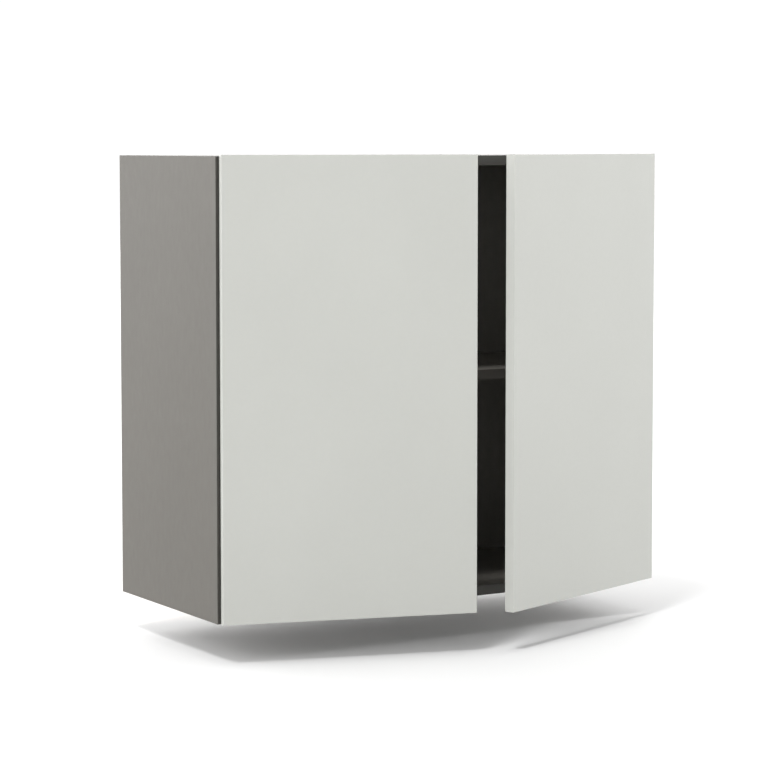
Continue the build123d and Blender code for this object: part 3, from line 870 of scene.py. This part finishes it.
class Repeated(Pen):
    """A Geometry Nodes tree that sets one shape on many seats. Each kind gives its lengths and its shape."""

    title: str = ""
    lengths: type[Lengths] = RodSizes
    crease: float = 38.0
    seam: float = 2e-6
    end_share: float = 0.985

    def __init__(self) -> None:
        """Build the tree with named inputs."""
        super().__init__(bpy.data.node_groups.new(self.title, "GeometryNodeTree"))
        kinds = {"Seats": "NodeSocketGeometry", "Finish": "NodeSocketMaterial"}
        kinds.update({length.name: "NodeSocketFloat" for length in fields(self.lengths)})
        for name, kind in kinds.items():
            self.tree.interface.new_socket(name, in_out="INPUT", socket_type=kind)
        self.tree.interface.new_socket("Pieces", in_out="OUTPUT", socket_type="NodeSocketGeometry")
        self.size = given = self.add("NodeGroupInput").outputs
        aim, turn = (
            self.add("GeometryNodeInputNamedAttribute", {"Name": name}, data_type=kind).outputs["Attribute"]
            for name, kind in (("aim", "FLOAT_VECTOR"), ("turn", "FLOAT"))
        )
        upright = self.add("FunctionNodeAlignRotationToVector", {"Vector": aim}, axis="Z").outputs[0]
        spin = self.add("FunctionNodeAxisAngleToRotation", {"Axis": Way.UP.value, "Angle": turn}).outputs[0]
        turns = {"Rotation": upright, "Rotate By": spin}
        both = self.add("FunctionNodeRotateRotation", turns, rotation_space="LOCAL").outputs[0]
        points = self.add("GeometryNodeMeshToPoints", {"Mesh": given["Seats"]}).outputs[0]
        spread = {"Points": points, "Instance": self.shape(), "Rotation": both}
        copies = self.add("GeometryNodeInstanceOnPoints", spread).outputs[0]
        real = self.add("GeometryNodeRealizeInstances", {"Geometry": copies}).outputs[0]
        smooth = self.add("GeometryNodeSetShadeSmooth", {0: real}).outputs[0]
        skin = self.add("GeometryNodeSetMaterial", {"Geometry": smooth, "Material": given["Finish"]})
        self.add("NodeGroupOutput", {"Pieces": skin.outputs[0]})

    def shape(self) -> Socket:
        """Make one piece, its foot at the origin and its top along Z."""
        raise NotImplementedError

    def spot(self) -> Sequence[Socket]:
        """The three numbers of a mesh point's place."""
        return self.parts(self.add("GeometryNodeInputPosition").outputs[0])

    def rounding(self, along: Socket, crown: float) -> Socket:
        """Factor on a radius that rounds the end where the share along nears 1; a small crown gives a dome."""
        fall = self.math("POWER", self.math("MULTIPLY", along, self.end_share, clamp=True), crown)
        return self.math("SQRT", self.rest(fall))

    def turned(
        self, radius: Value, height: Value, crown: float,
        sides: int = 24, rings: int = 10, ripple: Optional[Socket] = None,
    ) -> Socket:
        """Turn a round body from the origin up, its upper edge rounded.

        Args:
            radius: Radius of the body.
            height: Height of the body.
            crown: How flat the top is; a small number gives a dome.
            sides: Points round the body.
            rings: Steps along the body.
            ripple: Factor on the radius that changes along or round the body.

        Returns:
            The body's mesh.
        """
        fed = {"Vertices": sides, "Side Segments": rings, "Radius": radius, "Depth": height}
        body = self.add("GeometryNodeMeshCylinder", fed, fill_type="TRIANGLE_FAN").outputs["Mesh"]
        x, y, z = self.spot()
        along = self.plus(self.math("DIVIDE", z, height), 0.5)
        factor = self.rounding(along, crown)
        if ripple is not None:
            factor = self.times(factor, ripple)
        moved = self.point(self.times(x, factor), self.times(y, factor), self.times(along, height))
        return self.add("GeometryNodeSetPosition", {"Geometry": body, "Position": moved}).outputs[0]

    def placed(
        self, shape: Socket, shift: Optional[Socket] = None, turn: Point = (0.0, 0.0, 0.0)
    ) -> Socket:
        """Turn a shape and shift it.

        Args:
            shape: The shape.
            shift: How far it is shifted.
            turn: Its turns about X, Y and Z, in radians.

        Returns:
            The shape in its place.
        """
        fed = {"Geometry": shape, "Rotation": turn}
        if shift is not None:
            fed["Translation"] = shift
        return self.add("GeometryNodeTransform", fed).outputs[0]

    def combined(self, operation: str, fed: Inputs, *shapes: Socket) -> Socket:
        """Combine closed shapes.

        Args:
            operation: Name of the operation.
            fed: What the node gets besides the shapes.
            *shapes: The shapes.

        Returns:
            The combined shape.
        """
        node = self.add(
            "GeometryNodeMeshBoolean", {"Self Intersection": True, **fed}, operation=operation, solver="EXACT"
        )
        for shape in shapes:
            self.feed(node, {"Mesh 2": shape})
        return node.outputs["Mesh"]

    def welded(self, *shapes: Socket) -> Socket:
        """Weld several shapes into one closed body, with nothing left inside it."""
        whole = self.combined("UNION", {}, *shapes)
        return self.add("GeometryNodeMergeByDistance", {"Geometry": whole, "Distance": self.seam}).outputs[0]

    def cut(self, body: Socket, tool: Socket) -> Socket:
        """Cut a tool out of a body."""
        return self.combined("DIFFERENCE", {"Mesh 1": body}, tool)

    def crossed(self, reach: Value, width: Value, depth: Value, level: Value) -> Socket:
        """Make two crossed bars that cut a driver recess.

        Args:
            reach: Length of each bar.
            width: Width of each bar.
            depth: Depth of the recess.
            level: Height of the face that it is cut from.

        Returns:
            The bars.
        """
        bars = self.add("GeometryNodeJoinGeometry")
        for turn in (0.0, math.pi / 2):
            size = self.point(reach, width, self.times(depth, 2.0))
            bar = self.add("GeometryNodeMeshCube", {"Size": size}).outputs["Mesh"]
            self.feed(bars, {0: self.placed(bar, self.point(z=level), (0.0, 0.0, turn))})
        return bars.outputs[0]

    def set_out(self, name: str, finish: Finish, seats: Sequence[Seat], lengths: Lengths) -> bpy.types.Object:
        """Make one plain piece with the shape on every seat.

        Args:
            name: Name of the piece.
            finish: Its finish.
            seats: Where the shape is repeated.
            lengths: The shape's lengths.

        Returns:
            The finished piece.
        """
        points = bpy.data.meshes.new(f"{name}_seats")
        points.from_pydata([seat.foot for seat in seats], [], [])
        points.attributes.new("aim", "FLOAT_VECTOR", "POINT")
        points.attributes.new("turn", "FLOAT", "POINT")
        for index, seat in enumerate(seats):
            points.attributes["aim"].data[index].vector = seat.top
            points.attributes["turn"].data[index].value = math.radians(seat.turn)
        carrier = Workshop.shown(f"{name}_seats", points)
        maker = carrier.modifiers.new("repeat", "NODES")
        maker.node_group = self.tree
        values = {**asdict(lengths), "Finish": finish.build()}
        for item in self.tree.interface.items_tree:
            if item.in_out == "INPUT" and item.name in values:
                maker[item.identifier] = values[item.name]
        graph = bpy.context.evaluated_depsgraph_get()
        mesh = bpy.data.meshes.new_from_object(
            carrier.evaluated_get(graph), preserve_all_data_layers=True, depsgraph=graph
        )
        mesh.name = name
        carrier.modifiers.remove(maker)
        bpy.data.objects.remove(carrier)
        mesh.set_sharp_from_angle(angle=math.radians(self.crease))
        return Workshop.shown(name, mesh)

    def fit(
        self, name: str, node: str, body: str, finish: Finish, seats: Sequence[Seat], lengths: Lengths
    ) -> None:
        """Set the shape out on the seats as one piece that rides on a body and stands for a node."""
        Workshop.stand_in(self.set_out(name, finish, seats, lengths), body, finish, node)


class CrossScrew(Repeated):
    """Screw with a crossed recess in its rounded head and a thread on its shank."""

    title = "cross_screw"
    lengths = ScrewSizes
    recess_share: float = 1.2
    pitch: float = 0.0014
    thread: float = 0.09

    def shape(self) -> Socket:
        """Make the head with its recess, and the threaded shank below it.

        Returns:
            The screw.
        """
        size = self.size
        head = self.turned(size["head_radius"], size["head_height"], crown=6.0, sides=28, rings=12)
        reach = self.times(size["head_radius"], self.recess_share)
        recess = self.crossed(reach, size["cross_width"], size["cross_depth"], size["head_height"])
        x, y, z = self.spot()
        climb = self.plus(self.times(z, 2.0 * math.pi / self.pitch), self.math("ARCTAN2", y, x))
        thread = self.plus(1.0 - self.thread, self.times(self.math("SINE", climb), self.thread))
        shank = self.turned(
            size["shank_radius"], size["shank_length"], crown=14.0, sides=16, rings=44, ripple=thread
        )
        return self.welded(self.cut(head, recess), self.placed(shank, turn=UPSIDE_DOWN))


class StepPin(Repeated):
    """Stepped round pin: a shank below its collar, a stub above it, and a flat along one side of the stub."""

    title = "step_pin"
    lengths = PinSizes
    block: float = 0.06

    def shape(self) -> Socket:
        """Make the shank, the collar and the stub with its flat.

        Returns:
            The pin.
        """
        size = self.size
        shank = self.turned(size["shank_radius"], size["shank_length"], crown=30.0)
        collar = self.turned(size["collar_radius"], size["collar_height"], crown=8.0)
        stub = self.turned(size["stub_radius"], size["stub_length"], crown=20.0, rings=16)
        block = self.add("GeometryNodeMeshCube", {"Size": (self.block,) * 3}).outputs["Mesh"]
        aside = self.placed(block, self.point(self.plus(size["flat_height"], self.block / 2)))
        upper = self.cut(self.welded(collar, stub), aside)
        return self.welded(self.placed(shank, turn=UPSIDE_DOWN), upper)


class RoundPin(Repeated):
    """Plain round pin with both ends eased."""

    title = "round_pin"
    crown: float = 40.0

    def shape(self) -> Socket:
        """Make the rod, its middle at the origin.

        Returns:
            The rod.
        """
        radius, length = self.size["radius"], self.size["length"]
        below = self.math("SUBTRACT", 0.5, self.math("DIVIDE", self.spot()[2], length))
        foot = self.rounding(below, self.crown)
        rod = self.turned(radius, length, self.crown, rings=32, ripple=foot)
        return self.placed(rod, self.point(z=self.times(length, -0.5)))


class CamLock(Repeated):
    """Cam with a crossed driver slot in its face and a bore across it for the bolt."""

    title = "cam_lock"
    lengths = CamSizes
    slot_share: float = 1.3
    bore_share: float = 3.0

    def shape(self) -> Socket:
        """Make the disc, its face slots and its cross bore.

        Returns:
            The cam.
        """
        size = self.size
        disc = self.turned(size["radius"], size["depth"], crown=40.0, sides=36, rings=14)
        reach = self.times(size["radius"], self.slot_share)
        slots = self.crossed(reach, size["slot_width"], size["slot_depth"], size["depth"])
        through = self.times(size["radius"], self.bore_share)
        fed = {"Vertices": 24, "Radius": size["bore_radius"], "Depth": through}
        bore = self.add("GeometryNodeMeshCylinder", fed).outputs["Mesh"]
        across = self.placed(bore, self.point(z=size["bore_height"]), (0.0, math.pi / 2, 0.0))
        return self.welded(self.cut(disc, self.welded(slots, across)))


class FlutedDowel(Repeated):
    """Wooden dowel with glue flutes along it."""

    title = "fluted_dowel"
    flutes: float = 12.0
    flute: float = 0.035

    def shape(self) -> Socket:
        """Make the fluted rod.

        Returns:
            The dowel.
        """
        x, y, _ = self.spot()
        wave = self.math("COSINE", self.times(self.math("ARCTAN2", y, x), self.flutes))
        ripple = self.plus(1.0 - self.flute, self.times(wave, self.flute))
        radius, length = self.size["radius"], self.size["length"]
        return self.turned(radius, length, crown=40.0, sides=48, rings=12, ripple=ripple)


class SoftPad(Repeated):
    """Domed soft pad."""

    title = "soft_pad"

    def shape(self) -> Socket:
        """Make the dome."""
        return self.turned(self.size["radius"], self.size["length"], crown=4.0, sides=28, rings=14)


@dataclass
class HardwareBox:
    """The trees that make all repeated hardware, built once."""

    screw: CrossScrew = field(default_factory=CrossScrew)
    pin: StepPin = field(default_factory=StepPin)
    rod: RoundPin = field(default_factory=RoundPin)
    cam: CamLock = field(default_factory=CamLock)
    dowel: FlutedDowel = field(default_factory=FlutedDowel)
    pad: SoftPad = field(default_factory=SoftPad)


HARDWARE = HardwareBox()


def on_halves(kinds: Mapping[str, Finish], halves: Iterable[Side] = Side) -> dict[str, Finish]:
    """Finishes of nodes that each half of the cabinet has, under their full names."""
    return {f"{node}_{side.value}": finish for side in halves for node, finish in kinds.items()}


class Assembly:
    """A sub-assembly, some of whose nodes are shown as they are while pieces stand for the others."""

    def finishes(self) -> dict[str, Finish]:
        """Finish of each node that is shown as it is."""
        return {}

    def dress(self) -> None:
        """Give the shown nodes their finishes."""
        for node, finish in self.finishes().items():
            Workshop.dress(node, finish)

    def build(self) -> None:
        """Make the pieces that stand for the other nodes."""
        raise NotImplementedError


@dataclass
class Carcass(Assembly):
    """The box: two sides, top, bottom and back, with their front edge bands."""

    easing: Easing = Easing()

    def finishes(self) -> dict[str, Finish]:
        """Finish of the back."""
        return {"back_panel": PALETTE.back}

    def build(self) -> None:
        """Make the boards and bands with eased arrises."""
        boards = {
            "side_panel_left": (PALETTE.side_left, Arris.BEHIND_BAND),
            "side_panel_right": (PALETTE.side_right, Arris.BEHIND_BAND),
            "top_panel": (PALETTE.top, Arris.NONE),
            "bottom_panel": (PALETTE.bottom, Arris.NONE),
        }
        for band in ("side_edge_band_left", "side_edge_band_right", "top_edge_band", "bottom_edge_band"):
            boards[band] = (PALETTE.dark_band, Arris.FRONT)
        for node, (finish, arris) in boards.items():
            piece = self.easing.copy(node, f"eased_{node}", finish, arris)
            Workshop.stand_in(piece, CARCASS, finish, node)


@dataclass
class Shelf(Assembly):
    """The loose shelf on its four pins."""

    pin_height: float = -0.315
    left_turn: float = 180.0
    right_turn: float = 0.0
    pin: PinSizes = PinSizes(
        shank_radius=0.0025, shank_length=0.010, collar_radius=0.0045, collar_height=0.0015,
        stub_radius=0.0035, stub_length=0.011, flat_height=0.002,
    )
    sizes: CabinetSizes = SIZES

    def finishes(self) -> dict[str, Finish]:
        """Finishes of the shelf and its band."""
        return {"shelf": PALETTE.shelf, "shelf_edge_band": PALETTE.shelf_band}

    def build(self) -> None:
        """Set the pins in the hole lines, their flats up."""
        left = [
            Seat((-self.sizes.inner_half, y, self.pin_height), Way.RIGHT.value, self.left_turn)
            for y in self.sizes.hole_lines
        ]
        seats = both_halves(left, self.right_turn)
        HARDWARE.pin.fit("shelf_pins_turned", "shelf_pins", CARCASS, PALETTE.nickel, seats, self.pin)


@dataclass
class Door(Assembly):
    """One door with its edge band, hinge cups, pins, screws and pads."""

    side: Side
    back: float = -0.334
    cup_screw_x: float = -0.371
    cup_screw_step: float = 0.024
    cup_screw: ScrewSizes = ScrewSizes(
        head_radius=0.0038, head_height=0.0017, shank_radius=0.00175, shank_length=0.0132
    )
    first_turn: float = 17.0
    next_turn: float = 31.0
    flange: float = 0.0012
    hinge_pin: RodSizes = RodSizes(radius=0.00125, length=0.017)
    pad_x: float = -0.0195
    pad_heights: tuple[float, float] = (-0.647, 0.037)
    pad: RodSizes = RodSizes(radius=0.0045, length=0.0039)
    sizes: CabinetSizes = SIZES

    def finishes(self) -> dict[str, Finish]:
        """Finishes of the door, its band and its hinge cups."""
        kinds = {"door": PALETTE.door, "door_edge_band": PALETTE.door_band, "hinge_cups": PALETTE.nickel}
        return on_halves(kinds, [self.side])

    def build(self) -> None:
        """Drive the cup screws, press the hinge pins into the cups and stick on the pads."""
        seat_y = self.back + self.flange
        screws = [
            Seat((self.cup_screw_x, seat_y, z), Way.BACK.value, self.first_turn + self.next_turn * index)
            for index, z in enumerate(self.sizes.screw_levels(self.cup_screw_step))
        ]
        pins = [Seat((*self.sizes.pivot, z), Way.UP.value) for z in self.sizes.hinge_heights]
        pads = [Seat((self.pad_x, self.back, z), Way.BACK.value) for z in self.pad_heights]
        half, turn = self.side.value, self.sizes.rest_turn(self.side)
        for kind, name, node, finish, seats, lengths in (
            (HARDWARE.screw, "cup_screws_driven", "cup_screws", PALETTE.nickel, screws, self.cup_screw),
            (HARDWARE.rod, "hinge_pins_turned", "hinge_pins", PALETTE.nickel, pins, self.hinge_pin),
            (HARDWARE.pad, "door_pads", "door_bumpers", PALETTE.pad, pads, self.pad),
        ):
            at_rest = [seat.moved(turn) for seat in seats]
            kind.fit(f"{name}_{half}", f"{node}_{half}", self.side.door_body, finish, at_rest, lengths)


@dataclass
class HingeMounts(Assembly):
    """The fixed halves of the cup hinges: mounting plates, arms and their screws."""

    plate_seat_x: float = -0.3815
    plate_screw_step: float = 0.016
    plate_screw: ScrewSizes = ScrewSizes(
        head_radius=0.0038, head_height=0.0017, shank_radius=0.0024, shank_length=0.0135
    )
    next_turn: float = 23.0
    arm_seat_x: float = -0.373138
    arm_foot_x: float = -0.376738
    fixing_y: float = -0.276
    fixing_turn: float = 40.0
    fixing_screw: ScrewSizes = replace(plate_screw, shank_length=0.0081)
    adjuster_y: float = -0.297
    adjuster_turn: float = 65.0
    adjuster: ScrewSizes = ScrewSizes(
        head_radius=0.0029, head_height=0.0040, shank_radius=0.001, shank_length=0.00002
    )
    sizes: CabinetSizes = SIZES

    def finishes(self) -> dict[str, Finish]:
        """Finishes of the mounting plates and arms."""
        return on_halves({"hinge_plates": PALETTE.cast, "hinge_arms": PALETTE.nickel})

    def build(self) -> None:
        """Drive the screws of the plates and arms on both halves."""
        heights, line, right = self.sizes.hinge_heights, self.sizes.hole_lines[0], Way.RIGHT.value
        plate = [
            Seat((self.plate_seat_x, line, z), right, self.next_turn * index)
            for index, z in enumerate(self.sizes.screw_levels(self.plate_screw_step))
        ]
        fixing = [Seat((self.arm_seat_x, self.fixing_y, z), right, self.fixing_turn) for z in heights]
        adjuster = [Seat((self.arm_foot_x, self.adjuster_y, z), right, self.adjuster_turn) for z in heights]
        for node, left, lengths in (
            ("hinge_plate_screws", plate, self.plate_screw),
            ("arm_fixing_screws", fixing, self.fixing_screw),
            ("arm_adjusting_screws", adjuster, self.adjuster),
        ):
            HARDWARE.screw.fit(f"{node}_driven", node, CARCASS, PALETTE.nickel, both_halves(left), lengths)


@dataclass
class Hangers(Assembly):
    """The hangers in the upper corners, with their hooks, screws and wall plates."""

    screw_x: float = -0.3745
    screw_seat: float = -0.059
    screw_turn: float = 28.0
    depth_height: float = 0.008
    depth_screw: ScrewSizes = ScrewSizes(
        head_radius=0.0036, head_height=0.0030, shank_radius=0.0025, shank_length=0.019,
        cross_width=0.0012, cross_depth=0.0018,
    )
    lift_height: float = -0.026
    lift_screw: ScrewSizes = replace(depth_screw, shank_length=0.011)

    def finishes(self) -> dict[str, Finish]:
        """Finishes of the housings, hooks and wall plates."""
        steel = PALETTE.galvanised
        return on_halves({"hanger_housing": PALETTE.housing, "hanger_hook": steel, "wall_plate": steel})

    def build(self) -> None:
        """Drive the adjusting screws."""
        for node, height, lengths in (
            ("hanger_depth_screws", self.depth_height, self.depth_screw),
            ("hanger_height_screws", self.lift_height, self.lift_screw),
        ):
            left = [Seat((self.screw_x, self.screw_seat, height), Way.FRONT.value, self.screw_turn)]
            HARDWARE.screw.fit(f"{node}_driven", node, CARCASS, PALETTE.galvanised, both_halves(left), lengths)


@dataclass
class CornerJoints(Assembly):
    """The dowels, cam bolts and cams that hold the box together."""

    joint_heights: tuple[float, float] = (-0.647, 0.037)
    dowel_foot: float = -0.394
    dowel: RodSizes = RodSizes(radius=0.004, length=0.030)
    bolt: PinSizes = PinSizes(
        shank_radius=0.0025, shank_length=0.010, collar_radius=0.0035, collar_height=0.0015,
        stub_radius=0.0035, stub_length=0.026,
    )
    cam_x: float = -0.360
    cam: CamSizes = CamSizes(
        radius=0.0075, depth=0.0125, slot_width=0.002, slot_depth=0.0015,
        bore_radius=0.00355, bore_height=0.0125 - SIZES.board / 2,
    )
    sizes: CabinetSizes = SIZES

    def _corners(self, x: float, lines: Sequence[float]) -> list[Seat]:
        """Seats in the ends of the top and bottom panels, on the left half."""
        return [Seat((x, y, z), Way.RIGHT.value) for z in self.joint_heights for y in lines]

    def build(self) -> None:
        """Set the joints in all four corners."""
        dowels = self._corners(self.dowel_foot, self.sizes.dowel_lines)
        bolts = self._corners(-self.sizes.inner_half, self.sizes.joint_lines)
        faces = {Way.UP: self.sizes.top - self.cam.depth, Way.DOWN: self.sizes.bottom + self.cam.depth}
        cams = [Seat((self.cam_x, y, z), way.value) for y in self.sizes.joint_lines for way, z in faces.items()]
        for kind, name, node, finish, left, lengths in (
            (HARDWARE.dowel, "dowels_fluted", "dowels", PALETTE.beech, dowels, self.dowel),
            (HARDWARE.pin, "cam_bolts_turned", "cam_bolts", PALETTE.galvanised, bolts, self.bolt),
            (HARDWARE.cam, "cam_locks_cast", "cam_locks", PALETTE.cast, cams, self.cam),
        ):
            kind.fit(name, node, CARCASS, finish, both_halves(left), lengths)


@dataclass(frozen=True)
class Lamp:
    """One far studio light: the way its light travels, its strength and how wide it looks, in degrees."""

    name: str
    way: Point
    strength: float
    width: float


@dataclass(frozen=True)
class Glow:
    """White surroundings on one side: their strength at mid-height and near the floor."""

    way: Way
    middle: float
    low: float


@dataclass
class Studio:
    """White floor, key light from the upper left, white surroundings and the camera."""

    floor_below: float = 0.060
    floor_half: float = 14.0
    floor_finish: Finish = StudioWhite("studio_white", "studio_white")
    lamps: tuple[Lamp, ...] = (
        Lamp("key_light", (0.42, 0.19, -1.0), 1.15, 12.0),
        Lamp("overhead_light", (0.0, 0.0, -1.0), 0.24, 5.0),
    )
    glows: tuple[Glow, ...] = (
        Glow(Way.LEFT, 1.5, 2.55),
        Glow(Way.RIGHT, 2.45, 2.25),
        Glow(Way.FRONT, 0.30, 2.75),
        Glow(Way.BACK, 3.9, 3.0),
    )
    white: tuple[float, float, float, float] = (1.0, 1.0, 1.0, 1.0)
    seen_strength: float = 1.05
    camera_place: Point = (-2.12969, -3.65795, 0.06409)
    camera_yaw: float = -31.4066
    camera_pitch: float = -3.9994
    lens: float = 116.624
    sensor: float = 36.0
    shift_up: float = -0.09
    sizes: CabinetSizes = SIZES

    def build(self) -> None:
        """Make the floor, the lights, the surroundings and the camera."""
        self._floor()
        for lamp in self.lamps:
            self._hang(lamp)
        self._surroundings()
        self._camera()
        bpy.context.scene.view_settings.view_transform = "Standard"

    def _floor(self) -> None:
        """Lay a pale floor under the cabinet."""
        level, half = self.sizes.bottom - self.floor_below, self.floor_half
        corners = [(-half, -half, level), (half, -half, level), (half, half, level), (-half, half, level)]
        mesh = bpy.data.meshes.new("studio_floor")
        mesh.from_pydata(corners, [], [(0, 1, 2, 3)])
        mesh.materials.append(self.floor_finish.build())
        Workshop.shown("studio_floor", mesh)

    @staticmethod
    def _hang(lamp: Lamp) -> None:
        """Hang one far light.

        Args:
            lamp: The light.
        """
        light = bpy.data.lights.new(lamp.name, "SUN")
        light.energy = lamp.strength
        light.angle = math.radians(lamp.width)
        piece = Workshop.shown(lamp.name, light)
        piece.rotation_euler = Vector(lamp.way).to_track_quat("-Z", "Y").to_euler()

    def _surroundings(self) -> None:
        """Surround the scene with soft white panels, and with plain white where the camera sees them."""
        world = bpy.data.worlds.new("studio")
        bpy.context.scene.world = world
        world.use_nodes = True
        world.node_tree.nodes.clear()
        pen = Pen(world.node_tree)
        soft, seen = (
            pen.add("ShaderNodeBackground", {"Color": self.white, "Strength": strength}).outputs[0]
            for strength in (self._glow_strength(pen), self.seen_strength)
        )
        camera_ray = pen.add("ShaderNodeLightPath").outputs["Is Camera Ray"]
        mix = pen.add("ShaderNodeMixShader", {0: camera_ray, 1: soft, 2: seen})
        pen.add("ShaderNodeOutputWorld", {0: mix.outputs[0]})

    def _glow_strength(self, pen: Pen) -> Socket:
        """Add up the white surroundings of all sides; there is none straight above.

        Args:
            pen: The world's pen.

        Returns:
            The strength's socket.
        """
        place = pen.add("ShaderNodeTexCoord").outputs["Generated"]
        height = pen.parts(place)[2]
        low, high = pen.spread(height, 0.35, 0.10), pen.spread(height, 0.55, 0.85)
        middle = pen.math("SUBTRACT", 1.0, pen.plus(low, high), clamp=True)
        level = pen.vector("NORMALIZE", {0: pen.stretched(place, (1.0, 1.0, 0.0))})["Vector"]
        total: Value = 0.0
        for glow in self.glows:
            facing = pen.math("MAXIMUM", pen.dot(level, glow.way.value), 0.0)
            band = pen.plus(pen.times(low, glow.low), pen.times(middle, glow.middle))
            total = pen.plus(total, pen.times(band, pen.times(facing, facing)))
        return total

    def _camera(self) -> None:
        """Stand the camera where the photograph was taken from."""
        data = bpy.data.cameras.new("camera")
        data.lens = self.lens
        data.sensor_width = self.sensor
        data.shift_y = self.shift_up
        camera = Workshop.shown("camera", data)
        camera.location = self.camera_place
        camera.rotation_euler = (math.radians(90.0 + self.camera_pitch), 0.0, math.radians(self.camera_yaw))
        bpy.context.scene.camera = camera


def main() -> None:
    """Dress and build the cabinet in order, and set up the studio."""
    logging.basicConfig(level=logging.INFO, format="%(name)s: %(message)s")
    doors = [Door(side) for side in Side]
    for assembly in (Carcass(), Shelf(), *doors, HingeMounts(), Hangers(), CornerJoints()):
        assembly.dress()
        assembly.build()
    Studio().build()


if __name__ == "__main__":
    main()
